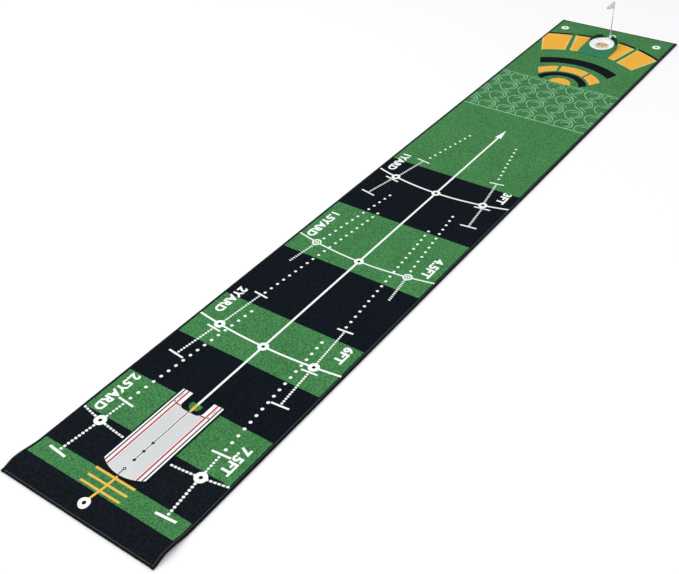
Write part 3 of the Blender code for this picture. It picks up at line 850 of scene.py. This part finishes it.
glass = Print(plate_outline(0.0005))
glass.rect("white", -0.08, -1.40, 0.08, -1.05)
glass.rect("none", -0.0440, -1.40, 0.0440, -1.1252)
for s in (-1, 1):
    def side(colour, a, b, y0, y1):
        glass.rect(colour, *sorted((s * a, s * b))[:1], y0, sorted((s * a, s * b))[1], y1)
    side("pink", 0.0440, 0.0545, -1.40, -1.05)
    side("red", 0.0466, 0.0510, -1.40, -1.05)
    side("red", 0.0280, 0.0500, -1.1264, -1.1226)
    side("black", 0.0590, 0.0630, -1.40, -1.05)
    side("black", 0.0547, 0.0563, -1.1065, -1.0890)
    for hx, hy in ((0.0553, -1.1210), (0.0618, -1.1290)):
        glass.disc("black", s * hx, hy, 0.0027, 18)
        glass.disc("none", s * hx, hy, 0.0020, 16)
GX = -0.0012
glass.rect("white", GX - 0.0032, -1.3200, GX + 0.0032, -1.1300)
glass.rect("black", GX - 0.0015, -1.3200, GX + 0.0015, -1.1300)
for y in (-1.2555, -1.2870, -1.3190):
    glass.disc("black", GX, y, 0.0044, 22)
glass.disc("black", GX, -1.3510, 0.0046, 22)
glass.disc("white", GX, -1.3510, 0.0018, 14)
glass.rect("black", GX - 0.0013, -1.40, GX + 0.0013, -1.3545)
gv, gg = glass.build(1e-6)
INKS = {"white": M_INK_WHITE, "pink": M_INK_PINK, "red": M_INK_RED, "black": M_INK_BLACK}
for colour, tris in gg.items():
    if colour in INKS:
        slab("mirror_print_" + colour, gv, tris, 0.00921, 0.00929, INKS[colour],
             "mirror")

# ------------------------------------------------------------------ cup
give("cup_body", M_CUP)
give("cup_liner", M_WHITE)
give("cup_disc", M_DISC)
give("flag_clip", M_WHITE)
give("flagpole_lower", M_POLE_LOW)
give("flagpole_upper", M_POLE)
dl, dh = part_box("cup_disc")
DC = ((dl[0] + dh[0]) / 2, (dl[1] + dh[1]) / 2)
DR = (dh[0] - dl[0]) / 2
seal = Print([(DC[0] + DR * 0.985 * cos(2 * pi * i / 56), DC[1] + DR * 0.985 * sin(2 * pi * i / 56))
              for i in range(56)])
seal.disc("tan", *DC, DR * 0.90, 48)
seal.disc("none", *DC, DR * 0.83, 48)
for i in range(4):
    x = DC[0] - 0.0120 + 0.0080 * i
    top = DC[1] + 0.0035 + 0.0035 * cos((i - 1.5) * 0.7)
    seal.rect("tan" if i % 2 else "brown", x - 0.0022, DC[1] - 0.0165, x + 0.0022, top)
seal.path("brown", arc_pts(DC[0], DC[1] - 0.0005, 0.0185, 168, 12, 18, 0.74), 0.0048)
seal.path("tan", arc_pts(DC[0], DC[1] - 0.0005, 0.0222, 165, 15, 18, 0.74), 0.0018)
sv, sg = seal.build(1e-6)
for colour, tris in sg.items():
    if colour in ("tan", "brown"):
        slab("disc_print_" + colour, sv, tris, dh[2] + 0.00002, dh[2] + 0.00012,
             {"tan": M_DISC_TAN, "brown": M_DISC_BROWN}[colour], "cup")

# -------------------------------------------------------------- pennant
pl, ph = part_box("flagpole_upper")
PX, PY = (pl[0] + ph[0]) / 2, (pl[1] + ph[1]) / 2
fl_, fh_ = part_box("flag_pennant")
TOP, LOW = fh_[2] - 0.0003, fh_[2] - 0.0300
NU, NV, NW = 26, 18, 14
R_SLEEVE = 0.0029


def fly(u, v):
    """u from the sleeve (0) to the tip (1), v from the top hem to the lower."""
    x = -0.0030 - 0.0252 * u
    ztop = TOP - 0.0275 * u ** 1.15 - 0.0020 * sin(pi * u)
    zlow = LOW - 0.0098 * u ** 0.85
    z = ztop + (zlow - ztop) * v
    fold = 0.0021 * sin(5.2 * u + 2.2 * v) * u ** 0.6 + 0.0008 * sin(13 * u - 4 * v) * u
    return (PX + x, PY + fold, z)


verts, faces = [], []
cols = []
for i in range(NW + 1):                       # sleeve, from the seam round to the fly
    a = pi + radians(12) + (2 * pi - radians(12)) * (1 - i / NW)
    cols.append([(PX + R_SLEEVE * cos(a), PY + R_SLEEVE * sin(a) * 1.0,
                  TOP + (LOW - TOP) * j / NV) for j in range(NV + 1)])
for i in range(1, NU + 1):
    cols.append([fly(i / NU, j / NV) for j in range(NV + 1)])
for col in cols:
    verts += col
for i in range(len(cols) - 1):
    for j in range(NV):
        a = i * (NV + 1) + j
        faces.append((a, a + 1, a + NV + 2, a + NV + 1))
pennant = add_object("pennant_cloth", verts, faces, M_CLOTH, "flag", 80)
so = pennant.modifiers.new("thickness", 'SOLIDIFY')
so.thickness = 0.00035
so.offset = 0.0
sub = pennant.modifiers.new("soft", 'SUBSURF')
sub.levels = sub.render_levels = 1
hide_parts("flag_pennant")

# ------------------------------------------------------ floor and light
me = bpy.data.meshes.new("floor")
me.from_pydata([(-25, -25, -0.0004), (25, -25, -0.0004), (25, 25, -0.0004), (-25, 25, -0.0004)],
               [], [(0, 1, 2, 3)])
floor = bpy.data.objects.new("floor", me)
SCENE.collection.objects.link(floor)
k = Look("floor_pale", (0.88, 0.88, 0.88), 0.9, Specular_IOR_Level=0.1)
me.materials.append(k.mat)

world = bpy.data.worlds.new("studio")
SCENE.world = world
world.use_nodes = True
bg = world.node_tree.nodes["Background"]
bg.inputs[0].default_value = (1.0, 1.0, 1.0, 1.0)
bg.inputs[1].default_value = 0.90


def area_light(name, at, look, size, power):
    ld = bpy.data.lights.new(name, 'AREA')
    ld.shape = 'RECTANGLE'
    ld.size, ld.size_y = size
    ld.energy = power
    lo = bpy.data.objects.new(name, ld)
    lo.location = at
    lo.rotation_euler = (Vector(look) - Vector(at)).to_track_quat('-Z', 'Y').to_euler()
    SCENE.collection.objects.link(lo)


area_light("key", (-2.6, -1.2, 3.6), (0.0, 0.0, 0.0), (3.2, 4.5), 62.0)
area_light("fill", (3.0, -1.5, 3.2), (0.0, 0.2, 0.0), (3.0, 4.0), 30.0)
SCENE.view_settings.view_transform = 'Standard'
SCENE.view_settings.look = 'None'
SCENE.view_settings.exposure = 0.0
SCENE.view_settings.gamma = 1.0
